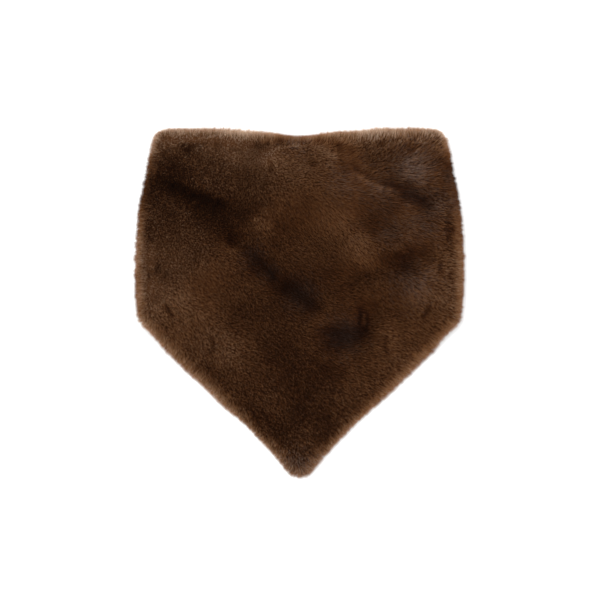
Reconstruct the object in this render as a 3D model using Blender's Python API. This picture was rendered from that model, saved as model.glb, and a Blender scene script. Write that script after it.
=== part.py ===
# Fur bandana: a triangle of pelt, folded behind at both sides and laid flat with its front up.
# The front lies on the two ends and, below them, on the table. +Y is the bandana's top.

import math
from collections import namedtuple

import bmesh
import bpy
from mathutils import Vector
from mathutils.geometry import intersect_point_line

MM = 0.001  # every size below is in millimetres, and the finished meshes are in metres

# Walls, each from the skin to the tips of the fur
FRONT_WALL = 12.6  # the front's pile stands free
END_WALL = 9.3  # an end's pile is pressed under the front
TAIL_WALL = 8.0  # pressed more where one end lies over the other
SEAM = 0.3  # between stretches that touch

# Rims: the skin stops short of the outline, and the fur rolls over its edge
FRONT_ROLL = 11.0
END_ROLL = 7.0
CUT_TUCK = 4.0  # how far the skin stops short at a cut edge
FOLD_TUCK = 0.6  # at a side fold the pelt carries on into the end below
FOLD_FROM_X = 126.0
FOLD_FULL_X = 138.0

# How the front comes down over what lies under it
DRAPE = 55.0  # from the ends' lower edges to the table
HUMP_HALF = 24.0  # half width of the flat top over the crossed tails
HUMP_SIDE = 34.0  # slope beside the tails
HUMP_BELOW = 50.0  # slope below the tails
CLIMB_START_X = -51.0  # the left end climbs over the right end's tail between these
CLIMB_END_X = -24.0

# Mesh density
OUTLINE_STEP = 7.0
LATTICE = 8.0  # one lattice for all walls, so faces that touch have their corners together
ON_LINE = 0.35  # a corner this near a lattice line is used as it is
ARC_POINTS = 12
SKIN_SIDE_STEPS = 2
FUR_SIDE_STEPS = 4

Corner = namedtuple("Corner", "x y radius")
Fold = namedtuple("Fold", "start bend end width rise")

# Right half of the front over its fur, clockwise from the dip in the top edge
FRONT_HALF = (
    Corner(0.0, 151.0, 90.0),
    Corner(72.0, 157.6, 160.0),
    Corner(133.0, 158.4, 15.0),
    Corner(146.2, 85.0, 200.0),
    Corner(149.4, 32.0, 200.0),
    Corner(147.4, -16.5, 13.0),
    Corner(45.5, -117.0, 160.0),
    Corner(0.0, -165.0, 15.0),
)

# The right end seen from above, clockwise from its tail's upper corner
TAIL_X = -18.0
TAIL_LOW_Y = 107.0
FOLD_CORNER = Corner(147.4, -16.5, 9.0)
TAIL_TURN = Corner(28.0, 106.0, 40.0)
RIGHT_END = (
    Corner(TAIL_X, 151.0, 14.0),
    Corner(72.0, 156.6, 160.0),
    Corner(132.4, 157.4, 15.0),
    Corner(146.2, 85.0, 200.0),
    Corner(149.4, 32.0, 200.0),
    FOLD_CORNER,
    TAIL_TURN,
    Corner(TAIL_X, TAIL_LOW_Y, 14.0),
)

# The largest creases (rise below 0) and swells of the front's fur
FRONT_FOLDS = (
    Fold((-139, 113), (-116, 101), (-92, 90), 11, -3.6),
    Fold((-94, 91), (-72, 80), (-61, 58), 12, -4.4),
    Fold((-56, 54), (-43, 40), (-27, 18), 9, -3.4),
    Fold((-18, 15), (0, 5), (14, -3), 12, -3.0),
    Fold((27, -25), (45, -36), (63, -6), 12, -4.4),
    Fold((59, 120), (86, 106), (107, 92), 10, -3.4),
    Fold((53, 80), (66, 73), (79, 67), 9, -2.6),
    Fold((41, 24), (77, 36), (112, 43), 9, -2.8),
    Fold((90, -4), (98, -1), (106, 3), 9, -1.8),
    Fold((-77, 6), (-54, -7), (-36, -30), 12, -2.4),
    Fold((0, -78), (-10, -92), (-26, -110), 10, -1.6),
    Fold((-36, 127), (0, 145), (36, 127), 8, 2.2),
    Fold((95, 128), (104, 121), (113, 113), 15, 2.8),
    Fold((45, 96), (60, 100), (86, 90), 11, 2.4),
    Fold((-134, 6), (-105, 24), (-82, 41), 15, 2.8),
    Fold((127, 79), (108, 70), (91, 60), 13, 2.4),
    Fold((136, 8), (122, 14), (104, 22), 12, 2.0),
    Fold((-92, -12), (-72, -36), (-52, -62), 17, 2.2),
    Fold((0, -128), (0, -134), (0, -140), 12, 1.4),
)

FUR_BROWN = (0.075, 0.034, 0.014, 1.0)
PRESSED_BROWN = (0.062, 0.029, 0.013, 1.0)
FUR_ROUGHNESS = 0.85


def clear_scene():
    for thing in list(bpy.data.objects):
        bpy.data.objects.remove(thing, do_unlink=True)


def ease(share):
    """A soft step, 0 up to share 0 and 1 from share 1."""
    share = min(max(share, 0.0), 1.0)
    return share * share * (3.0 - 2.0 * share)


def mirrored(corners):
    """Copies on the other side of the corners off the midline, still clockwise."""
    return [Corner(-corner.x, corner.y, corner.radius) for corner in reversed(corners) if corner.x]


def outline_points(corners):
    """Even points along the outline, with an arc of its radius at each corner."""
    places = [Vector((corner.x, corner.y)) for corner in corners]
    fine = []
    for row, corner in enumerate(corners):
        here = places[row]
        back = (places[row - 1] - here).normalized()
        ahead = (places[(row + 1) % len(places)] - here).normalized()
        half_angle = back.angle(ahead) / 2
        centre = here + (back + ahead).normalized() * corner.radius / math.sin(half_angle)
        reach = corner.radius / math.tan(half_angle)
        arc_start = here + back * reach - centre
        arc_end = here + ahead * reach - centre
        for step in range(ARC_POINTS + 1):
            spoke = arc_start.slerp(arc_end, step / ARC_POINTS)  # of length 1
            fine.append(centre + spoke * corner.radius)
    return evenly_spaced(fine)


def evenly_spaced(fine):
    """The closed line through the fine points, as points about OUTLINE_STEP apart."""
    closed = fine + fine[:1]
    length = sum((b - a).length for a, b in zip(closed, closed[1:]))
    count = round(length / OUTLINE_STEP)
    points = []
    walked = 0.0
    for start, end in zip(closed, closed[1:]):
        stretch = (end - start).length
        while len(points) < count and len(points) * length / count < walked + stretch:
            points.append(start.lerp(end, (len(points) * length / count - walked) / stretch))
        walked += stretch
    return points


def inward_directions(points):
    """For each point of a clockwise outline, the unit vector across it to the inside."""
    inward = []
    for row in range(len(points)):
        along = points[(row + 1) % len(points)] - points[row - 1]
        inward.append(Vector((along.y, -along.x)).normalized())
    return inward


def tuck(x):
    """How far the skin stops short of the outline: little at the side folds."""
    on_fold = ease((abs(x) - FOLD_FROM_X) / (FOLD_FULL_X - FOLD_FROM_X))
    return CUT_TUCK + (FOLD_TUCK - CUT_TUCK) * on_fold


def rim_angles():
    """Angles round a rim's section, from its skin side to its fur side."""
    quarter = math.pi / 2
    skin_side = [-quarter * (1 - step / SKIN_SIDE_STEPS) for step in range(SKIN_SIDE_STEPS)]
    fur_side = [quarter * step / FUR_SIDE_STEPS for step in range(FUR_SIDE_STEPS + 1)]
    return skin_side + fur_side


def rim_place(angle, short, roll, wall):
    """Inset from the outline, and share of the wall's height from skin to fur, at an angle."""
    if angle < 0:
        return short * (1 - math.cos(angle)), short * (1 + math.sin(angle)) / wall
    return roll * (1 - math.cos(angle)), (short + (wall - short) * math.sin(angle)) / wall


def path_distance(place, path):
    """Distance from a place to a path of straight stretches."""
    nearest = math.inf
    for start, end in zip(path, path[1:]):
        share = intersect_point_line(place, start, end)[1]
        foot = Vector(start).lerp(Vector(end), min(max(share, 0.0), 1.0))
        nearest = min(nearest, (place - foot).length)
    return nearest


def fold_rise(x, y):
    """What the creases and swells add to the front's fur."""
    place = Vector((x, y))
    rise = 0.0
    for fold in FRONT_FOLDS:
        distance = path_distance(place, (fold.start, fold.bend, fold.end))
        rise += fold.rise * math.exp(-((distance / fold.width) ** 2))
    return rise


def below_ends(x, y):
    """Distance down from the lower edges of the two ends, 0 or less over an end."""
    corner = Vector((FOLD_CORNER.x, FOLD_CORNER.y))
    turn = Vector((TAIL_TURN.x, TAIL_TURN.y))
    slant = (corner - turn).normalized()
    from_turn = Vector((abs(x), y)) - turn
    below_slant = slant.y * from_turn.x - slant.x * from_turn.y
    return min(below_slant, TAIL_LOW_Y - y)


def climb(x):
    """How far the left end has climbed over the right end's tail, 0 to 1."""
    return ease((x - CLIMB_START_X) / (CLIMB_END_X - CLIMB_START_X))


def front_skin(x, y):
    """Underside of the front: on the table, over an end, or over both tails."""
    over_end = 1 - ease(below_ends(x, y) / DRAPE)
    beside = max(abs(x) - HUMP_HALF, 0.0) / HUMP_SIDE
    below = max(TAIL_LOW_Y - y, 0.0) / HUMP_BELOW
    over_tails = 1 - ease(math.hypot(beside, below))
    return (END_WALL + SEAM) * over_end + (TAIL_WALL + SEAM) * over_tails


def front_fur(x, y):
    return front_skin(x, y) + FRONT_WALL + fold_rise(x, y)


def right_skin(x, y):
    return END_WALL


def right_fur(x, y):
    return 0.0


def left_skin(x, y):
    return left_fur(x, y) + END_WALL + (TAIL_WALL - END_WALL) * climb(x)


def left_fur(x, y):
    return (END_WALL + SEAM) * climb(x)


def rim_rings(bm, points, skin, fur, roll):
    """Rings of corners round the edge, the first on the skin side and the last on the fur side."""
    inward = inward_directions(points)
    rings = []
    for angle in rim_angles():
        ring = []
        for point, across in zip(points, inward):
            wall = abs(fur(point.x, point.y) - skin(point.x, point.y))
            inset, share = rim_place(angle, tuck(point.x), roll, wall)
            place = point + across * inset
            low = skin(place.x, place.y)
            high = fur(place.x, place.y)
            ring.append(bm.verts.new((place.x, place.y, low + (high - low) * share)))
        rings.append(ring)
    return rings


def join_rings(bm, rings):
    for lower, upper in zip(rings, rings[1:]):
        for row in range(len(lower)):
            ahead = (row + 1) % len(lower)
            bm.faces.new((lower[row], upper[row], upper[ahead], lower[ahead]))


def cover(bm, ring, height):
    """Fills a ring with one face, cuts it on the lattice and lifts its corners to the height."""
    face = bm.faces.new(ring)
    geometry = [face, *face.edges, *face.verts]
    for axis in (0, 1):
        normal = Vector((axis == 0, axis == 1, 0))
        reach = [vert.co[axis] / LATTICE for vert in ring]
        for line in range(math.floor(min(reach)) + 1, math.ceil(max(reach))):
            cut = bmesh.ops.bisect_plane(
                bm, geom=geometry, dist=ON_LINE, plane_co=normal * line * LATTICE, plane_no=normal
            )
            geometry = cut["geom"]
    for vert in geometry:
        if isinstance(vert, bmesh.types.BMVert):
            vert.co.z = height(vert.co.x, vert.co.y)


def fur_material(name, colour):
    material = bpy.data.materials.new(name)
    material.use_nodes = True
    shader = material.node_tree.nodes["Principled BSDF"]
    shader.inputs["Base Color"].default_value = colour
    shader.inputs["Roughness"].default_value = FUR_ROUGHNESS
    shader.inputs["Metallic"].default_value = 0.0
    return material


def stretch_of_pelt(name, corners, skin, fur, roll, colour):
    """One stretch of the pelt: a closed wall between its skin and the tips of its fur."""
    bm = bmesh.new()
    rings = rim_rings(bm, outline_points(corners), skin, fur, roll)
    join_rings(bm, rings)
    cover(bm, rings[0], skin)
    cover(bm, rings[-1], fur)
    bmesh.ops.scale(bm, vec=(MM, MM, MM), verts=bm.verts)
    bmesh.ops.recalc_face_normals(bm, faces=bm.faces)
    mesh = bpy.data.meshes.new(name)
    bm.to_mesh(mesh)
    bm.free()
    mesh.shade_smooth()
    mesh.materials.append(fur_material(name, colour))
    return bpy.data.objects.new(name, mesh)


def build():
    clear_scene()
    collection = bpy.data.collections.new("fur_bandana")
    bpy.context.scene.collection.children.link(collection)
    holder = bpy.data.objects.new("fur_bandana", None)
    collection.objects.link(holder)

    front_corners = [*FRONT_HALF, *mirrored(FRONT_HALF)]
    left_corners = mirrored(RIGHT_END)
    stretches = (
        stretch_of_pelt("front", front_corners, front_skin, front_fur, FRONT_ROLL, FUR_BROWN),
        stretch_of_pelt("right_end", RIGHT_END, right_skin, right_fur, END_ROLL, PRESSED_BROWN),
        stretch_of_pelt("left_end", left_corners, left_skin, left_fur, END_ROLL, PRESSED_BROWN),
    )
    for stretch in stretches:
        collection.objects.link(stretch)
        stretch.parent = holder


build()
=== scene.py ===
import math

import bmesh
import bpy
import numpy as np
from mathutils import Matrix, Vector, noise
from mathutils.bvhtree import BVHTree
from mathutils.kdtree import KDTree


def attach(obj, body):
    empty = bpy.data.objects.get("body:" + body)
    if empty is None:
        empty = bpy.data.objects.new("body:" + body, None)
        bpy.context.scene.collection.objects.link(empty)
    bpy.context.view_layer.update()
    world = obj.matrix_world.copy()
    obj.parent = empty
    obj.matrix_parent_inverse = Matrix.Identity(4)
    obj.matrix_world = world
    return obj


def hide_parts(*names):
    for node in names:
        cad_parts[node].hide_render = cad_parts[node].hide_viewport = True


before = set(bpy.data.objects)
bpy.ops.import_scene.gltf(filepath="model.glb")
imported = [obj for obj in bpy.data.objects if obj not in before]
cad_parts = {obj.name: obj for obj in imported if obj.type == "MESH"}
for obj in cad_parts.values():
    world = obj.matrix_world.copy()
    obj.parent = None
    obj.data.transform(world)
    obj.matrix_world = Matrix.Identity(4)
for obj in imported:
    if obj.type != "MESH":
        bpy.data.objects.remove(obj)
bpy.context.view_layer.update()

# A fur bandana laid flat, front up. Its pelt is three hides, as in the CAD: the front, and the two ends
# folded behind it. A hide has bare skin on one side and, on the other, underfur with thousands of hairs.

mm = 0.001  # sizes below are in millimetres

# Camera

view = {
    "width": 543.6,  # what the picture takes in, across
    "centreX": 0.2,  # where the camera looks, straight down
    "centreY": 1.8,
    "lens": 135.0,
    "sensor": 36.0,
    "level": 8.0,  # height at which the width is right, that of the fur's outline
}


def makeCamera():
    data = bpy.data.cameras.new("camera")
    data.lens = view["lens"]
    data.sensor_width = view["sensor"]
    camera = bpy.data.objects.new("camera", data)
    distance = view["width"] * view["lens"] / view["sensor"]
    camera.location = Vector((view["centreX"], view["centreY"], view["level"] + distance)) * mm
    bpy.context.scene.collection.objects.link(camera)
    bpy.context.scene.camera = camera


# Studio

studio = {
    "floorSide": 6000.0,
    "floorColour": "#f4f4f4",
    "floorRoughness": 0.9,
    "floorSpecular": 0.1,
    "worldColour": "#ffffff",
    "worldStrength": 0.75,
    "lamps": (  # name, place in mm, side in mm, watts
        ("lamp_over", (-350.0, 500.0, 1500.0), 1200.0, 26.0),
        ("lamp_fill", (700.0, -500.0, 1300.0), 1500.0, 9.0),
    ),
}


def makeStudio():
    bm = bmesh.new()
    bmesh.ops.create_grid(bm, x_segments=1, y_segments=1, size=studio["floorSide"] / 2 * mm)
    floor = pieceFrom(bm, "floor", [floorMaterial()])
    for name, place, side, watts in studio["lamps"]:
        data = bpy.data.lights.new(name, "AREA")
        data.size = side * mm
        data.energy = watts
        lamp = bpy.data.objects.new(name, data)
        lamp.location = Vector(place) * mm
        lamp.rotation_euler = (-lamp.location).to_track_quat("-Z", "Y").to_euler()
        bpy.context.scene.collection.objects.link(lamp)
    world = bpy.data.worlds.new("studio")
    world.use_nodes = True
    sky = world.node_tree.nodes["Background"]
    sky.inputs["Color"].default_value = linearColour(studio["worldColour"])
    sky.inputs["Strength"].default_value = studio["worldStrength"]
    bpy.context.scene.world = world
    bpy.context.scene.view_settings.view_transform = "Standard"  # white stays white


# Materials

def linearColour(hexCode):  # an sRGB hex code as Blender's linear colour
    shares = [int(hexCode[at:at + 2], 16) / 255 for at in (1, 3, 5)]
    return (*[s / 12.92 if s <= 0.04045 else ((s + 0.055) / 1.055) ** 2.4 for s in shares], 1.0)


def newMaterial(name):
    material = bpy.data.materials.new(name)
    material.use_nodes = True
    return material, material.node_tree.nodes["Principled BSDF"]


# One function for every kind of node
def addNode(material, kind, inputs, **settings):
    node = material.node_tree.nodes.new(kind)
    for name, value in settings.items():
        setattr(node, name, value)
    feed(material, node, inputs)
    return node


# An input takes a value, or another node's output to be linked
def feed(material, node, inputs):
    for name, value in inputs.items():
        if isinstance(value, bpy.types.NodeSocket):
            material.node_tree.links.new(value, node.inputs[name])
        else:
            node.inputs[name].default_value = value


def addNoise(material, place, size, detail):  # its patches are about size mm across
    pattern = addNode(material, "ShaderNodeTexNoise", {
        "Vector": place, "Scale": 1 / (size * mm), "Detail": detail})
    return pattern.outputs["Fac"]


def addRamp(material, source, stops):  # a stop is a place on the ramp and its colour
    ramp = addNode(material, "ShaderNodeValToRGB", {"Fac": source})
    elements = ramp.color_ramp.elements
    while len(elements) < len(stops):
        elements.new(1.0)
    for element, (place, hexCode) in zip(elements, stops):
        element.position = place
        element.color = linearColour(hexCode)
    return ramp.outputs["Color"]


def floorMaterial():  # matt white paper: an even, pale ground
    material, shader = newMaterial("paper")
    feed(material, shader, {
        "Base Color": linearColour(studio["floorColour"]),
        "Roughness": studio["floorRoughness"],
        "Specular IOR Level": studio["floorSpecular"],
    })
    return material


hairLook = {
    "warmFrom": 0.02, "warmTo": 0.47,  # where a hair's tone lies across its map, brown hairs
    "sheenFrom": 0.53, "sheenTo": 0.98,  # and cool-tinted hairs, a painted sheen where hairs lie flat and in some creases
    # the stops from 0.53 on are the cool colours of the painted sheen
    "rootStops": (
        (0.02, "#090302"), (0.25, "#2b1608"), (0.47, "#67442a"),
        (0.53, "#0d0807"), (0.75, "#2a1d17"), (0.98, "#5f4b41"),
    ),
    "tipStops": (
        (0.02, "#0c0402"), (0.12, "#3b1c0d"), (0.20, "#673e21"),
        (0.29, "#986742"), (0.38, "#c39875"), (0.47, "#ecd0b6"),
        (0.53, "#130c0a"), (0.63, "#38261e"), (0.71, "#614839"),
        (0.80, "#8f7262"), (0.98, "#e0c9bb"),
    ),
    "shadeStops": ((0.0, "#000000"), (0.35, "#444444"), (1.0, "#ffffff")),  # from root to tip
    "roughness": 0.7,
    "specular": 0.04,
    "sheen": 0.02,
    "sheenColour": "#c99f80",
}


# Sheared beaver hair: fine, soft keratin, dark at the root, lighter and a little glossy at the tip.
# The map's across says how light the hair is, its painted light, shade and sheen included, and its up
# runs from root to tip.
def hairMaterial():
    material, shader = newMaterial("sheared_hair")
    place = addNode(material, "ShaderNodeUVMap", {}, uv_map="OFBake")
    parts = addNode(material, "ShaderNodeSeparateXYZ", {"Vector": place.outputs["UV"]})
    mix = addNode(material, "ShaderNodeMixRGB", {
        "Fac": addRamp(material, parts.outputs["Y"], hairLook["shadeStops"]),
        "Color1": addRamp(material, parts.outputs["X"], hairLook["rootStops"]),
        "Color2": addRamp(material, parts.outputs["X"], hairLook["tipStops"]),
    })
    feed(material, shader, {
        "Base Color": mix.outputs["Color"],
        "Roughness": hairLook["roughness"],
        "Specular IOR Level": hairLook["specular"],
        "Sheen Weight": hairLook["sheen"],
        "Sheen Tint": linearColour(hairLook["sheenColour"]),
    })
    return material


underfurLook = {
    "tuft": 1.6,  # mm, the width of a tuft of underfur
    "detail": 3.0,
    "uneven": 0.4,  # how much the tufts count beside the hide's own tone
    "stops": ((0.20, "#180b05"), (0.62, "#1e0f07"), (0.85, "#2b180b"), (1.0, "#472c19")),
    "bump": 0.8,
    "bumpHeight": 0.6,  # mm
    "roughness": 0.95,
    "specular": 0.03,
}


# Dense wool below the hairs: matt and woolly, dark under dark hairs and lighter under light ones, so it
# takes their painted light and shade too
def underfurMaterial():
    material, shader = newMaterial("underfur")
    place = addNode(material, "ShaderNodeTexCoord", {})
    tufts = addNoise(material, place.outputs["Object"], underfurLook["tuft"], underfurLook["detail"])
    hideTone = addNode(material, "ShaderNodeAttribute", {}, attribute_name="tone")
    both = addNode(material, "ShaderNodeMath", {
        0: tufts, 1: underfurLook["uneven"], 2: hideTone.outputs["Fac"]}, operation="MULTIPLY_ADD")
    bump = addNode(material, "ShaderNodeBump", {
        "Height": tufts, "Strength": underfurLook["bump"], "Distance": underfurLook["bumpHeight"] * mm})
    feed(material, shader, {
        "Base Color": addRamp(material, both.outputs["Value"], underfurLook["stops"]),
        "Normal": bump.outputs["Normal"],
        "Roughness": underfurLook["roughness"],
        "Specular IOR Level": underfurLook["specular"],
    })
    return material


suedeLook = {
    "nap": 0.7,  # mm, the suede's fine nap, drawn coarser than the real 0.2 so that it shows
    "napDetail": 2.0,
    "napShare": 0.35,  # how much the nap counts beside the dye
    "mottle": 22.0,  # mm, dye patches
    "mottleDetail": 4.0,
    "stops": ((0.45, "#6b4a33"), (0.95, "#8f6b4e")),
    "bump": 0.4,
    "bumpHeight": 0.2,  # mm
    "roughness": 0.9,
    "sheen": 0.4,
}


def suedeMaterial():  # dressed skin side of the pelt: tan suede with a fine nap and uneven dye
    material, shader = newMaterial("suede")
    place = addNode(material, "ShaderNodeTexCoord", {})
    naps = addNoise(material, place.outputs["Object"], suedeLook["nap"], suedeLook["napDetail"])
    mottle = addNoise(material, place.outputs["Object"], suedeLook["mottle"], suedeLook["mottleDetail"])
    both = addNode(material, "ShaderNodeMath", {
        0: naps, 1: suedeLook["napShare"], 2: mottle}, operation="MULTIPLY_ADD")
    bump = addNode(material, "ShaderNodeBump", {
        "Height": naps, "Strength": suedeLook["bump"], "Distance": suedeLook["bumpHeight"] * mm})
    feed(material, shader, {
        "Base Color": addRamp(material, both.outputs["Value"], suedeLook["stops"]),
        "Normal": bump.outputs["Normal"],
        "Roughness": suedeLook["roughness"],
        "Sheen Weight": suedeLook["sheen"],
    })
    return material


# Meshes

def pieceFrom(bm, name, materials):
    mesh = bpy.data.meshes.new(name)
    bm.to_mesh(mesh)
    bm.free()
    return addPiece(name, mesh, materials)


def addPiece(name, mesh, materials):
    piece = bpy.data.objects.new(name, mesh)
    for material in materials:
        mesh.materials.append(material)
    bpy.context.scene.collection.objects.link(piece)
    return piece


# One value, or a row of several, of each corner or face of a mesh
def readAll(items, name, width=1, kind=float):
    values = np.empty(len(items) * width, kind)
    items.foreach_get(name, values)
    return values.reshape(-1, width) if width > 1 else values


def unit(rows):
    tiny = 1e-12  # keeps a row of noughts from dividing by nothing
    return rows / (np.linalg.norm(rows, axis=1)[:, None] + tiny)


# Hides

hide = {
    "merge": 0.01,  # mm, within which corners of a CAD node are one
    "pile": 4.6,  # mm of free hair above the underfur
    "rimTurn": -0.5,  # a face that looks further down than this is skin
    "band": 12.0,  # mm from the outline, where the hide is drawn in sideways too, less and less
    "edge": 0.5,  # mm from the outline, where the way out is the surface's own
    "round": 8.0,  # mm, the rim's rounding, over which the drawing in turns from sideways to down
    "thinned": 0.7,  # the largest share of its thickness that a node loses
    "lip": 9.0,  # mm from the outline, within which skin is woolly like underfur but grows no hair
    "level": 0.25,  # the most that a normal on the outline looks up or down
    "skinSlot": 0,  # its faces' materials
    "furSlot": 1,
    "lipSlot": 2,
}


# A CAD node's mesh with its corners joined, so that its normals are smooth
def mergedNode(nodeName):
    bm = bmesh.new()
    bm.from_mesh(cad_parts[nodeName].data)
    bmesh.ops.remove_doubles(bm, verts=bm.verts, dist=hide["merge"] * mm)
    bm.normal_update()
    return bm


# The node's own form, merged, with its fur side drawn in by the length of the hairs
def makeHide(nodeName, up, materials):
    bm = mergedNode(nodeName)
    bm.verts.index_update()
    furFaces = [face for face in bm.faces if face.normal.z * up > hide["rimTurn"]]
    skinFaces = [face for face in bm.faces if face.normal.z * up <= hide["rimTurn"]]
    places = np.array([vert.co for vert in bm.verts]) / mm
    inset, outwards = nearestLine(places[:, 0], places[:, 1], outlineOf(nodeName))
    moves = drawIn(bm, furFaces, skinFaces, inset, outwards, up)
    for vert, move in zip(bm.verts, moves):
        vert.co -= move
    for face in bm.faces:
        face.material_index = hide["skinSlot"]
        face.smooth = True
    for face in furFaces:
        face.material_index = hide["furSlot"]
    for face in skinFaces:
        if max(inset[vert.index] for vert in face.verts) < hide["lip"]:
            face.material_index = hide["lipSlot"]
    bmesh.ops.subdivide_edges(bm, edges=bm.edges, cuts=1, use_grid_fill=True)
    bmesh.ops.triangulate(bm, faces=bm.faces)
    return pieceFrom(bm, nodeName + "_hide", materials)


# How far each corner of a hide moves in: sideways near its outline, and down from its fur side
def drawIn(bm, furFaces, skinFaces, inset, outwards, up):
    furCorners = {vert for face in furFaces for vert in face.verts}
    corners = [vert.co.copy() for vert in bm.verts]
    skin = BVHTree.FromPolygons(corners, [[vert.index for vert in face.verts] for face in skinFaces])
    moves = []
    for vert, gap, way in zip(bm.verts, inset, outwards):
        out = vert.normal.xy if gap < hide["edge"] else Vector(way)
        sideways = out.normalized() * hide["pile"] * max(1 - gap / hide["band"], 0.0)
        down = 0.0
        if vert in furCorners and vert.normal.z * up > 0:
            down = hide["pile"] * math.sqrt(1 - max(1 - gap / hide["round"], 0.0) ** 2)
            _, _, _, thickness = skin.ray_cast(vert.co, Vector((0.0, 0.0, -up)))
            if thickness is not None:
                down = min(down, hide["thinned"] * thickness / mm)
        moves.append(Vector((*sideways, down * up)) * mm)
    return moves


# The hide keeps the tone of the hairs above it, painted light and shade included, for the underfur's
# material
def keepTone(piece, nodeName, toneAt):
    places = np.array([vert.co for vert in piece.data.vertices]) / mm
    x, y = places[:, 0], places[:, 1]
    inset, _ = nearestLine(x, y, outlineOf(nodeName))
    kept = piece.data.attributes.new("tone", "FLOAT", "POINT")
    kept.data.foreach_set("value", toneAt(x, y, inset))


# The node's outline seen from above in mm, from the corners whose normals are level
def outlineOf(nodeName):
    bm = mergedNode(nodeName)
    rim = [edge for edge in bm.edges if all(abs(vert.normal.z) < hide["level"] for vert in edge.verts)]
    lines = [[(vert.co.x / mm, vert.co.y / mm) for vert in edge.verts] for edge in rim]
    bm.free()
    return lines


# How far places in mm are from the nearest of some lines, and the way there
def nearestLine(x, y, lines):
    nearest = np.full(len(x), np.inf)
    way = np.zeros((len(x), 2))
    for (startX, startY), (endX, endY) in lines:
        alongX, alongY = endX - startX, endY - startY
        share = ((x - startX) * alongX + (y - startY) * alongY) / (alongX ** 2 + alongY ** 2)
        share = np.clip(share, 0.0, 1.0)
        gap = np.column_stack([startX + share * alongX - x, startY + share * alongY - y])
        distance = np.linalg.norm(gap, axis=1)
        nearer = distance < nearest
        nearest[nearer] = distance[nearer]
        way[nearer] = gap[nearer]
    return nearest, unit(way)


# Nap

nap = {
    "reach": 30.0,  # mm, how far a guide counts
    "rimReach": 16.0,  # mm, how far a guide of the rim counts
    "least": 1e-9,  # what a guide counts at the least, so that no total is nought
    "rimTurn": 0.6,  # the share of the rim's band in which the hairs turn outwards
    "rimGrain": 1.3,  # how much more grain they have there
    "stray": 0.10,  # how far single hairs leave the nap, where the grain is 1
    "clumpStray": 0.12,  # the same for whole clumps
}

# x, y in mm, heading in degrees from +X towards +Y, lean from upright in degrees, and grain, which is how
# uneven the hairs are
napGuides = (
    (-118, 125, -45, 10, 1.7),
    (-85, 95, -45, 10, 1.9),
    (-50, 115, -42, 14, 1.2),
    (-22, 134, -20, 24, 0.35),
    (-60, 60, -40, 18, 1.0),
    (-30, 85, -40, 20, 0.9),
    (-110, 30, -38, 22, 0.6),
    (-110, -10, -38, 24, 0.6),
    (-142, 60, -40, 5, 1.3),
    (-142, 5, -40, 7, 1.1),
    (-60, -45, -38, 26, 0.9),
    (0, 128, -6, 28, 0.3),
    (30, 100, -12, 32, 0.25),
    (20, 60, -30, 30, 0.4),
    (0, 20, -34, 28, 0.6),
    (0, -30, -34, 26, 0.9),
    (0, -90, -45, 24, 1.3),
    (70, 90, -20, 42, 0.33),
    (105, 125, -8, 52, 0.33),
    (115, 65, -18, 44, 0.33),
    (60, 153, 60, 22, 0.9),
    (95, 154, 60, 24, 1.0),
    (128, 152, 50, 26, 1.0),
    (145, 75, -20, 24, 1.3),
    (145, 20, -20, 22, 1.3),
    (65, 30, -24, 36, 0.55),
    (110, 10, -16, 40, 0.37),
    (44, -26, -8, 42, 0.5),
    (64, -16, -8, 40, 0.5),
    (75, -60, -34, 30, 0.7),
)

# x, y on the outline in mm, how much paler the painted rim light makes it there than the plain fur, mm in
# from the edge where a third of that is left, mm from the edge where the hairs turn outwards, their lean
# there in degrees, mm that they reach past the coat, mm that their tufts stand out
rimGuides = (
    (-125, 158, 0.49, 33, 17, 46, 0.6, 2.4),
    (-85, 158, 0.45, 35, 17, 46, 0.6, 2.4),
    (-60, 157, 0.57, 32, 17, 46, 0.6, 2.4),
    (-35, 154, 0.39, 23, 15, 46, 0.4, 2.2),
    (0, 151, 0.14, 8, 12, 46, -1.2, 0.6),
    (35, 154, 0.35, 17, 15, 46, 0.4, 2.2),
    (70, 158, 0.58, 21, 17, 40, 0.6, 2.4),
    (95, 158, 0.32, 19, 17, 40, 0.4, 2.4),
    (125, 158, 0.55, 19, 17, 40, 0.6, 2.4),
    (-134, 151, 0.49, 22, 11, 42, -3.2, 1.8),
    (134, 151, 0.57, 18, 11, 42, -3.2, 1.8),
    (-142, 138, 0.18, 12, 5, 30, 0.2, 2.4),
    (142, 138, 0.13, 9, 5, 30, 0.0, 2.4),
    (-145, 118, -0.05, 6, 6, 30, -1.0, 2.4),
    (-147, 95, -0.05, 7, 6, 30, 1.2, 2.4),
    (145, 118, -0.10, 8, 6, 30, -1.2, 2.4),
    (147, 95, -0.07, 8, 6, 30, 0.4, 2.4),
    (-148, 70, 0.12, 22, 11, 30, 1.2, 2.4),
    (148, 70, 0.08, 12, 8, 30, 1.0, 2.4),
    (-149, 40, 0.13, 22, 10, 30, 1.4, 2.4),
    (149, 40, 0.18, 14, 8, 30, 0.8, 2.4),
    (-149, 5, 0.05, 18, 10, 30, 1.4, 2.4),
    (149, 5, 0.10, 18, 8, 30, 0.6, 2.4),
    (-143, -25, 0.26, 11, 8, 40, 1.4, 1.6),
    (143, -25, 0.27, 13, 8, 40, 0.6, 1.6),
    (-115, -55, 0.25, 9, 8, 46, 3.8, 1.4),
    (115, -55, 0.22, 7, 8, 46, 3.4, 1.4),
    (-80, -88, 0.29, 9, 8, 46, 2.6, 1.4),
    (80, -88, 0.25, 8, 8, 46, 3.0, 1.4),
    (-48, -119, 0.32, 9, 8, 46, 0.2, 1.4),
    (60, -104, 0.26, 7, 8, 46, 0.6, 1.4),
    (46, -121, 0.26, 7, 8, 46, 0.6, 1.4),
    (-24, -142, 0.30, 8, 8, 46, 0.4, 1.4),
    (24, -142, 0.24, 7, 8, 46, 0.4, 1.4),
    (0, -157, 0.23, 9, 8, 40, 3.8, 1.6),
)


def softStep(share):  # from 0 to 1 with soft ends
    share = np.clip(share, 0.0, 1.0)
    return share * share * (3.0 - 2.0 * share)


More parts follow.
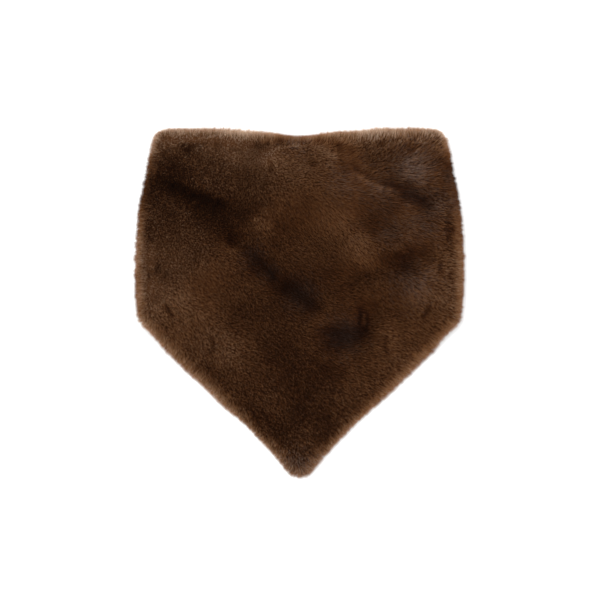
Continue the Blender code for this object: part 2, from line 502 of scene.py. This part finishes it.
# What guides say at places in mm: each one counts by how near it is
def blendGuides(guides, x, y, reach):
    sums = np.zeros((len(x), len(guides[0]) - 2))
    total = np.zeros(len(x))
    for guideX, guideY, *values in guides:
        weight = np.exp(-((x - guideX) ** 2 + (y - guideY) ** 2) / reach ** 2) + nap["least"]
        sums += weight[:, None] * values
        total += weight
    return (sums / total[:, None]).T


# The hairs' heading at places in mm, as a flat unit vector, their lean and grain, and how far they reach
# past the coat and stand out in tufts at the rim
def napAt(x, y, inset, outwards):
    degrees, lean, grain = blendGuides(napGuides, x, y, nap["reach"])
    _, _, band, rimLean, reach, tooth = blendGuides(rimGuides, x, y, nap["rimReach"])
    turned = softStep((band - inset) / (band * nap["rimTurn"]))
    heading = np.column_stack([np.cos(np.radians(degrees)), np.sin(np.radians(degrees))])
    inner = np.sin(np.radians(lean)) * (1 - turned)
    outer = np.sin(np.radians(rimLean)) * turned
    sway = heading * inner[:, None] + outwards * outer[:, None]
    grain = grain * nap["rimGrain"] ** turned
    return unit(sway), np.arcsin(np.linalg.norm(sway, axis=1)), grain, reach, tooth


# Tones

tones = {
    "plain": 0.445,  # of a hair with nothing else to it, 0 darkest to 1 palest
    "ends": 0.395,  # the same for the ends
    "clump": 0.05,  # spread between clumps, where the grain is 1
    "single": 0.09,  # spread between hairs of a clump
    "patches": ((30.0, 0.06), (9.0, 0.035), (5.0, 0.035)),  # mm across, and change of tone
    "rimTuft": 7.0,  # mm, the width of the tufts of the painted rim light
    "rimUneven": 0.35,  # how unevenly deep they are, as a share of the painted rim light's own depth
    "rimFall": 1.3,  # how steeply the painted rim light falls off
    "waver": 5.0,  # mm, how far the edges of swells and creases wander
    "waverSize": 11.0,  # mm from one bend of theirs to the next
}

# Painted light on swells and painted shade in hollows of the front: x, y, reach in mm, change of tone
swellLightAndHollowShade = (
    (-112, 113, 28, -0.18),
    (-112, 142, 12, 0.08),
    (-46, 130, 16, 0.10),
    (0, 124, 32, 0.22),
    (-28, 126, 13, 0.15),
    (30, 128, 10, 0.08),
    (27, 92, 28, 0.02),
    (44, 104, 12, 0.06),
    (10, 84, 15, -0.11),
    (32, 68, 28, 0.07),
    (-14, 65, 16, -0.10),
    (-32, 71, 9, 0.12),
    (-54, 46, 8, 0.16),
    (-19, 19, 6, 0.08),
    (105, 119, 17, 0.16),
    (134, 134, 17, -0.15),
    (128, 84, 9, 0.10),
    (91, 83, 9, -0.05),
    (80, 102, 9, 0.05),
    (74, 47, 8, 0.05),
    (109, 29, 8, -0.06),
    (127, -26, 8, -0.06),
    (54, -97, 7, -0.06),
    (137, 36, 13, 0.10),
    (138, 2, 12, 0.09),
    (108, 139, 9, -0.06),
    (84, 139, 14, 0.03),
    (48, 124, 18, -0.08),
    (67, 106, 14, 0.06),
    (54, 84, 9, -0.06),
    (70, 71, 15, -0.15),
    (100, 60, 22, 0.06),
    (60, 47, 20, 0.18),
    (120, 12, 22, 0.15),
    (127, 119, 8, 0.07),
    (-72, 120, 10, -0.05),
    (92, -6, 11, -0.05),
    (62, -2, 12, -0.12),
    (84, -42, 20, 0.12),
    (-122, 10, 30, 0.23),
    (-133, 14, 13, 0.12),
    (-90, 11, 9, -0.06),
    (-90, -26, 8, -0.05),
    (-54, -26, 8, -0.05),
    (-106, 32, 13, 0.03),
    (-71, 66, 8, 0.06),
    (-36, 102, 12, 0.04),
    (-126, -26, 9, -0.06),
    (-130, 46, 17, 0.11),
    (-128, 82, 12, 0.08),
    (-96, 48, 22, 0.18),
    (-78, 18, 14, -0.03),
    (-86, -26, 26, 0.15),
    (-68, -46, 18, 0.15),
    (-52, -52, 16, 0.08),
    (-50, -12, 14, -0.06),
    (20, -14, 9, 0.05),
    (36, -43, 7, -0.12),
    (26, -43, 11, -0.07),
    (20, -132, 10, -0.06),
    (18, -102, 9, 0.06),
    (30, -66, 14, -0.14),
    (46, -74, 18, 0.05),
)

# Painted shade in creases of the front, and painted light on one ridge along its left rim: start, bend,
# end, width in mm, change of tone
creaseShadeAndRidgeLight = (
    ((-114, 103), (-99, 96), (-74, 88), 6, -0.27),
    ((-92, 86), (-71, 68), (-63, 60), 9, -0.24),
    ((-138, 84), (-140, 45), (-138, -16), 8, 0.07),
    ((-72, 86), (-58, 78), (-46, 80), 9, -0.14),
    ((-56, 52), (-42, 38), (-25, 24), 9, -0.19),
    ((-16, 16), (-2, 8), (11, -2), 11, -0.22),
    ((9, 20), (30, 26), (55, 26), 12, -0.08),
    ((30, -30), (42, -31), (53, -29), 11, -0.23),
    ((58, -14), (61, -22), (60, -30), 7, -0.12),
    ((82, 107), (98, 101), (114, 91), 8, -0.18),
    ((76, 42), (95, 40), (112, 46), 9, -0.18),
    ((64, 28), (80, 32), (98, 34), 8, -0.08),
    ((-16, -48), (-2, -75), (5, -95), 16, -0.14),
    ((-38, -105), (-28, -112), (-18, -122), 9, -0.14),
    ((24, -105), (27, -112), (24, -120), 8, -0.12),
    ((-78, -62), (-70, -68), (-62, -78), 8, -0.08),
)

# Painted shade in small partings of its fur and painted light on small ridges, with the same columns
partingShadeAndRidgeLight = (
    ((-128, 111), (-99, 97), (-70, 90), 3.5, -0.14),
    ((-38, 40), (-30, 29), (-23, 21), 2.5, -0.12),
    ((-12, 14), (2, 6), (10, -2), 4, -0.08),
    ((52, 120), (70, 110), (92, 103), 2.5, -0.10),
    ((54, 115), (67, 106), (90, 97), 3, 0.08),
    ((97, 97), (105, 93), (113, 88), 5, -0.09),
    ((-34, 129), (-18, 138), (0, 141), 2.5, 0.14),
    ((0, 141), (18, 138), (34, 129), 2.5, 0.10),
    ((-37, 142), (-27, 146), (-18, 147), 5, -0.20),
    ((18, 147), (25, 146), (36, 142), 5, -0.20),
    ((-25, 125), (-25, 121), (-26, 117), 2, -0.25),
    ((12, 124), (13, 124), (14, 124), 3, -0.18),
    ((-105, 142), (-101, 134), (-98, 141), 2, -0.34),
    ((-76, 146), (-75, 142), (-73, 146), 1.5, -0.32),
    ((98, 142), (102, 136), (105, 141), 2, -0.16),
    ((73, 146), (74, 142), (76, 146), 1.5, -0.22),
    ((-104, 136), (-80, 138), (-45, 139), 6, -0.05),
    ((40, 139), (80, 137), (92, 136), 6, -0.06),
    ((118, -5), (116, -9), (113, -14), 2, -0.25),
    ((-120, -4), (-117, -9), (-114, -13), 2, -0.25),
    ((79, -34), (78, -41), (80, -46), 2, -0.20),
    ((-79, -34), (-77, -41), (-79, -46), 2, -0.20),
    ((57, -7), (57, -13), (56, -20), 1.5, -0.20),
    ((63, -12), (63, -18), (62, -26), 1.5, -0.20),
    ((60, -12), (60, -16), (60, -20), 1, 0.16),
    ((-135, 71), (-134, 68), (-135, 64), 1.5, -0.28),
    ((135, 71), (134, 68), (135, 64), 1.5, -0.24),
    ((-140, 67), (-139, 66), (-139, 64), 1.5, -0.24),
    ((140, 67), (139, 66), (139, 64), 1.5, -0.22),
    ((-135, 59), (-135, 57), (-134, 55), 1.5, -0.28),
    ((135, 59), (135, 57), (134, 55), 1.5, -0.24),
    ((-128, 34), (-128, 31), (-129, 27), 1.5, -0.24),
    ((128, 34), (128, 31), (129, 27), 1.5, -0.22),
    ((-135, 26), (-136, 24), (-135, 21), 1.5, -0.22),
    ((137, 26), (136, 24), (136, 21), 1.5, -0.18),
    ((-121, 29), (-121, 27), (-121, 24), 1.5, -0.16),
    ((136, 80), (138, 62), (138, 45), 3, -0.06),
)

# Painted sheen, where hairs lie flat and shine cool, and in some creases: x, y, reach in mm, share of
# cool hairs
paintedSheenSpots = (
    (104, 120, 22, 0.8),
    (80, 100, 26, 0.4),
    (122, 88, 18, 0.6),
    (112, 68, 18, 0.5),
    (84, 62, 14, 0.5),
    (104, 18, 18, 0.6),
    (42, 108, 14, 0.4),
    (-2, 142, 11, 0.3),
    (137, 112, 9, 0.6),
    (139, 88, 9, 0.5),
    (-40, 40, 10, 0.6),
    (-26, 25, 9, 0.6),
    (2, 6, 14, 0.8),
    (42, -31, 15, 0.9),
    (104, 95, 12, 0.7),
    (0, -146, 14, 0.5),
)


def cloud(x, y, size):  # soft noise, from -1 to 1
    return np.array([noise.noise((px / size, py / size, 0.0)) for px, py in zip(x, y)])


def strokes(rows, x, y):  # the painted shade and light that creases or partings add to the tone
    tone = np.zeros(len(x))
    for start, bend, end, width, change in rows:
        nearest, _ = nearestLine(x, y, ((start, bend), (bend, end)))
        tone += change * np.exp(-(nearest / width) ** 2)
    return tone


# The front's tone: plain, random patches, and the painted light and shade of its rim, swells, hollows,
# creases and partings
def frontTone(x, y, inset):
    tone = tones["plain"] + strokes(partingShadeAndRidgeLight, x, y) + paintedRimLight(x, y, inset)
    for size, change in tones["patches"]:
        tone += change * cloud(x, y, size)
    waverX = x + tones["waver"] * cloud(x, y, tones["waverSize"])
    waverY = y + tones["waver"] * cloud(y, x, tones["waverSize"])
    # painted light on swells and painted shade in hollows
    for swellX, swellY, reach, change in swellLightAndHollowShade:
        tone += change * np.exp(-((waverX - swellX) ** 2 + (waverY - swellY) ** 2) / reach ** 2)
    # painted shade in creases and painted light on the ridge
    return tone + strokes(creaseShadeAndRidgeLight, waverX, waverY)


# Painted rim light: hairs near the outline are made paler, as if lit on and through from the side
def paintedRimLight(x, y, inset):
    rimLight, fade, *_ = blendGuides(rimGuides, x, y, nap["rimReach"])
    depth = inset / fade + tones["rimUneven"] * cloud(x, y, tones["rimTuft"])
    return rimLight * np.exp(-np.maximum(depth, 0.0) ** tones["rimFall"])


def endTone(x, y, inset):
    return tones["ends"] + paintedRimLight(x, y, inset)


# The share of hairs that get the painted sheen's cool colours at places in mm
def paintedSheenShare(x, y):
    share = np.zeros(len(x))
    for spotX, spotY, reach, amount in paintedSheenSpots:
        share = np.maximum(share, amount * np.exp(-((x - spotX) ** 2 + (y - spotY) ** 2) / reach ** 2))
    return share


# Hairs

hair = {
    "sink": 1.6,  # mm of root inside the underfur
    "width": 0.45,  # mm across a root, much more than a real hair's so that it shows
    "thinnest": 0.75,  # of that width
    "thickest": 1.25,
    "clump": 0.85,  # mm across a clump of hairs
    "gather": 0.28,  # how far a clump's tips draw together
    "uneven": 0.08,  # spread of hair lengths
    "shorn": 0.35,  # mm, spread of the tips about the coat's even height
    "rimShorn": 0.6,  # mm, spread of the rim's tips
    "mostShorn": 0.7,  # the largest share of a hair that is cut off
    "leastRise": 1.0,  # mm, what a hair is taken to rise at the least when it is cut
    "toothSize": 2.2,  # mm, the width of the rim's tufts
    "rimDensity": 3.0,  # how many times more hairs the rim has besides
    "rimFrom": 0.45,  # how far a normal is turned outwards where the hairs begin to follow it
    "rimOver": 0.4,  # how much further it is turned where they follow it most
    "rimUpright": 0.75,  # how much of their lean they lose there
    "pressedLean": 48.0,  # degrees, of the ends' hairs, pressed flat under the front
    "pressedReach": 1.0,  # mm that they reach past the coat
    "tucked": 5.0,  # mm that they reach less at the tails, under the dip of the top edge
    "tuckWidth": 24.0,  # mm from the dip's middle, where a third of that is left
    "pressedFrom": 0.9,  # how level the ends' fur is where it lies on the floor, out of sight
    "pressedDensity": 0.4,  # the share of its hairs that it has there
    "floorGap": 0.15,  # mm that tips stay above the floor, and roots twice that
    "mapWidth": 0.008,  # half a hair's width on its map
    "mapBase": 0.04,  # how far up its map a hair's base goes
}

# up is which way the fur looks, pieces is how many meshes its hairs fill, and flat and area are those of
# the cut hide, in metres and square metres
endCoat = {
    "up": -1, "toneAt": endTone, "hairs": 18000, "pieces": 1, "slot": "pressed_fur",
    "flat": (0.167, 0.161), "area": 0.0155, "held": "folded",
}
coats = {
    "front": {
        "up": 1, "toneAt": frontTone, "hairs": 199000, "pieces": 4, "slot": "fur", "seed": 11,
        "flat": (0.298, 0.316), "area": 0.068, "held": "laid",
        "restsOn": ["right_end_hide", "left_end_hide"],
    },
    "right_end": {**endCoat, "seed": 12, "restsOn": []},
    "left_end": {**endCoat, "seed": 13, "restsOn": ["right_end_hide"]},
}


# Places for roots on the fur side of a hide, denser at its rim, with the surface's smooth normals
def rootPlaces(piece, count, up, rng):
    mesh = piece.data
    mesh.calc_loop_triangles()
    corners = readAll(mesh.loop_triangles, "vertices", 3, np.int32)
    owners = readAll(mesh.loop_triangles, "polygon_index", 1, np.int32)
    wears = readAll(mesh.polygons, "material_index", 1, np.int32)
    points = readAll(mesh.vertices, "co", 3)
    normals = readAll(mesh.vertices, "normal", 3)
    corners = corners[wears[owners] == hide["furSlot"]]
    sides = points[corners]
    area = np.linalg.norm(np.cross(sides[:, 1] - sides[:, 0], sides[:, 2] - sides[:, 0]), axis=1) / 2
    looks = normals[corners].mean(axis=1)[:, 2] * up
    weight = area * (1.0 + hair["rimDensity"] * (1 - looks ** 2))
    if up < 0:
        weight[looks > hair["pressedFrom"]] *= hair["pressedDensity"]
    steps = np.cumsum(weight) / weight.sum()
    chosen = np.searchsorted(steps, (np.arange(count) + rng.random(count)) / count)
    chosen = np.minimum(chosen, len(corners) - 1)
    first, second = rng.random(count), rng.random(count)
    over = first + second > 1
    first[over], second[over] = 1 - first[over], 1 - second[over]
    shares = np.stack([1 - first - second, first, second], axis=1)[:, :, None]
    places = (points[corners[chosen]] * shares).sum(axis=1)
    normal = (normals[corners[chosen]] * shares).sum(axis=1)
    return places, normal / np.linalg.norm(normal, axis=1)[:, None]


# Which way hairs grow from places in mm, how upright they are, their grain, and how far they reach past
# the coat and stand out in tufts where the hide turns outwards
def hairWays(x, y, normal, outward, outline, up):
    heading, lean, grain, reach, tooth = napAt(x, y, *nearestLine(x, y, outline))
    if up < 0:
        lean = np.full(len(x), math.radians(hair["pressedLean"]))
        reach = hair["pressedReach"] - hair["tucked"] * np.exp(-(x / hair["tuckWidth"]) ** 2)
    flat = np.column_stack([heading, np.zeros(len(x))])
    flat = unit(flat - normal * (flat * normal).sum(axis=1)[:, None])
    lean = lean * (1 - hair["rimUpright"] * softStep((outward - hair["rimFrom"]) / hair["rimOver"]))
    way = normal * np.cos(lean)[:, None] + flat * np.sin(lean)[:, None]
    return way, np.cos(lean), grain, reach, tooth


# The middle hair of each clump, and for every hair the clump that it goes with, whose middle is nearest
def clumpsOf(piece, places, rng):
    area = sum(face.area for face in piece.data.polygons if face.material_index == hide["furSlot"])
    count = min(int(area / (hair["clump"] * mm) ** 2), len(places))
    middles = rng.choice(len(places), count, replace=False)
    tree = KDTree(count)
    for row, middle in enumerate(middles):
        tree.insert(places[middle], row)
    tree.balance()
    return middles, np.array([tree.find(place)[1] for place in places])


# How far places are past the node's own surface, which is the even coat, and the way out of it there
def pastCoat(nodeName, places):
    bm = bmesh.new()
    bm.from_mesh(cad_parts[nodeName].data)
    coat = BVHTree.FromBMesh(bm)
    bm.free()
    found = [coat.find_nearest(place) for place in places]
    feet = np.array([foot for foot, _, _, _ in found])
    normals = np.array([normal for _, normal, _, _ in found])
    return ((places - feet) * normals).sum(axis=1), normals


# The tips after shearing, which cuts a hair back to the coat, or to how far it reaches past the coat
def shear(nodeName, roots, tips, reach, rng):
    past, out = pastCoat(nodeName, tips)
    past -= (reach + rng.normal(0.0, hair["shorn"], len(tips))) * mm
    along = np.maximum(((tips - roots) * out).sum(axis=1), hair["leastRise"] * mm)
    return tips - (tips - roots) * np.clip(past / along, 0.0, hair["mostShorn"])[:, None]


# Where hairs lie across their map: by tone, among the warm ones or, for this share of them, the cool ones
# of the painted sheen
def acrossMap(tone, paintedSheen, rng):
    tone = np.clip(tone, 0.0, 1.0)
    warm = hairLook["warmFrom"] + tone * (hairLook["warmTo"] - hairLook["warmFrom"])
    sheenTone = hairLook["sheenFrom"] + tone * (hairLook["sheenTo"] - hairLook["sheenFrom"])
    return np.where(rng.random(len(tone)) < paintedSheen, sheenTone, warm)


def growHairs(nodeName, piece, coat, material):
    rng = np.random.default_rng(coat["seed"])
    count, up = coat["hairs"], coat["up"]
    outline = outlineOf(nodeName)
    places, normal = rootPlaces(piece, count, up, rng)
    x, y = places[:, 0] / mm, places[:, 1] / mm
    outward = np.hypot(normal[:, 0], normal[:, 1])
    way, upright, grain, reach, tooth = hairWays(x, y, normal, outward, outline, up)

    middles, group = clumpsOf(piece, places, rng)
    clumpWay = rng.normal(0.0, nap["clumpStray"], (len(middles), 3))
    clumpTone = rng.normal(0.0, tones["clump"], len(middles))
    clumpLength = rng.normal(0.0, hair["uneven"], len(middles))
    stray = clumpWay[group] + rng.normal(0.0, nap["stray"], (count, 3))
    way = unit(way + stray * grain[:, None])
    reach += tooth * cloud(x, y, hair["toothSize"]) + rng.normal(0.0, hair["rimShorn"], count)
    reach *= outward ** 2
    length = (hair["sink"] + hide["pile"] + reach) * mm / upright
    length *= 1 + clumpLength[group] + rng.normal(0.0, hair["uneven"], count)

    roots = places - normal * hair["sink"] * mm
    tips = roots + way * length[:, None]
    tips += (tips[middles][group] - tips) * hair["gather"] * rng.random(count)[:, None]
    tips = shear(nodeName, roots, tips, reach, rng)
    tips[:, 2] = np.maximum(tips[:, 2], hair["floorGap"] * mm)
    roots[:, 2] = np.maximum(roots[:, 2], 2 * hair["floorGap"] * mm)

    x, y = tips[:, 0] / mm, tips[:, 1] / mm
    inset, _ = nearestLine(x, y, outline)
    uneven = grain * (clumpTone[group] + rng.normal(0.0, tones["single"], count))
    # painted sheen, on the front's hairs only
    paintedSheen = paintedSheenShare(x, y) if up > 0 else 0.0
    across = acrossMap(coat["toneAt"](x, y, inset) + uneven, paintedSheen, rng)

    order = np.argsort(x, kind="stable")
    pieces = []
    for row, rows in enumerate(np.array_split(order, coat["pieces"])):
        name = f"{nodeName}_fur" if coat["pieces"] == 1 else f"{nodeName}_fur_{row + 1}"
        pieces.append(hairMesh(name, roots[rows], tips[rows], across[rows], rng, material))
    return pieces


# A hair is a spike of three sides on a small base, and a piece of fur is all its hairs in one mesh
def hairMesh(name, roots, tips, across, rng, material):
    count = len(roots)
    way = unit(tips - roots)
    side = unit(np.cross(way, rng.normal(size=(count, 3))))
    other = np.cross(way, side)
    radius = hair["width"] * mm / 2 * rng.uniform(hair["thinnest"], hair["thickest"], count)
    points = np.empty((count, 4, 3))
    for corner in range(3):
        angle = corner * 2 * math.pi / 3
        points[:, corner] = roots + radius[:, None] * (side * math.cos(angle) + other * math.sin(angle))
    points[:, :3, 2] = np.maximum(points[:, :3, 2], hair["floorGap"] * mm)
    points[:, 3] = tips
    spike = np.array([(0, 1, 3), (1, 2, 3), (2, 0, 3), (2, 1, 0)])
    faces = (np.arange(count)[:, None, None] * 4 + spike).reshape(-1, 3)
    mesh = bpy.data.meshes.new(name)
    mesh.from_pydata(points.reshape(-1, 3), [], faces)
    layer = mesh.uv_layers.new(name="OFBake")
    thin = hair["mapWidth"]
    sideMap = ((-thin, 0.0), (thin, 0.0), (0.0, 1.0))
    baseMap = ((-thin, 0.0), (thin, 0.0), (0.0, hair["mapBase"]))
    shape = np.array([sideMap, sideMap, sideMap, baseMap])
    maps = np.tile(shape, (count, 1, 1, 1))
    maps[..., 0] += across[:, None, None]
    layer.data.foreach_set("uv", maps.ravel())
    return addPiece(name, mesh, [material])


# Putting it together

makeCamera()
makeStudio()
print("camera and studio ready")

wool = underfurMaterial()
hideMaterials = [suedeMaterial(), wool, wool]  # of the skin, the fur side and the lips
hairs = hairMaterial()
for nodeName, coat in coats.items():
    piece = makeHide(nodeName, coat["up"], hideMaterials)
    keepTone(piece, nodeName, coat["toneAt"])
    furPieces = growHairs(nodeName, piece, coat, hairs)
    for part in (piece, *furPieces):
        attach(part, "root")
    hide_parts(nodeName)
    print(nodeName, "has", len(piece.data.polygons), "hide faces and", coat["hairs"], "hairs")

print("fur bandana finished")
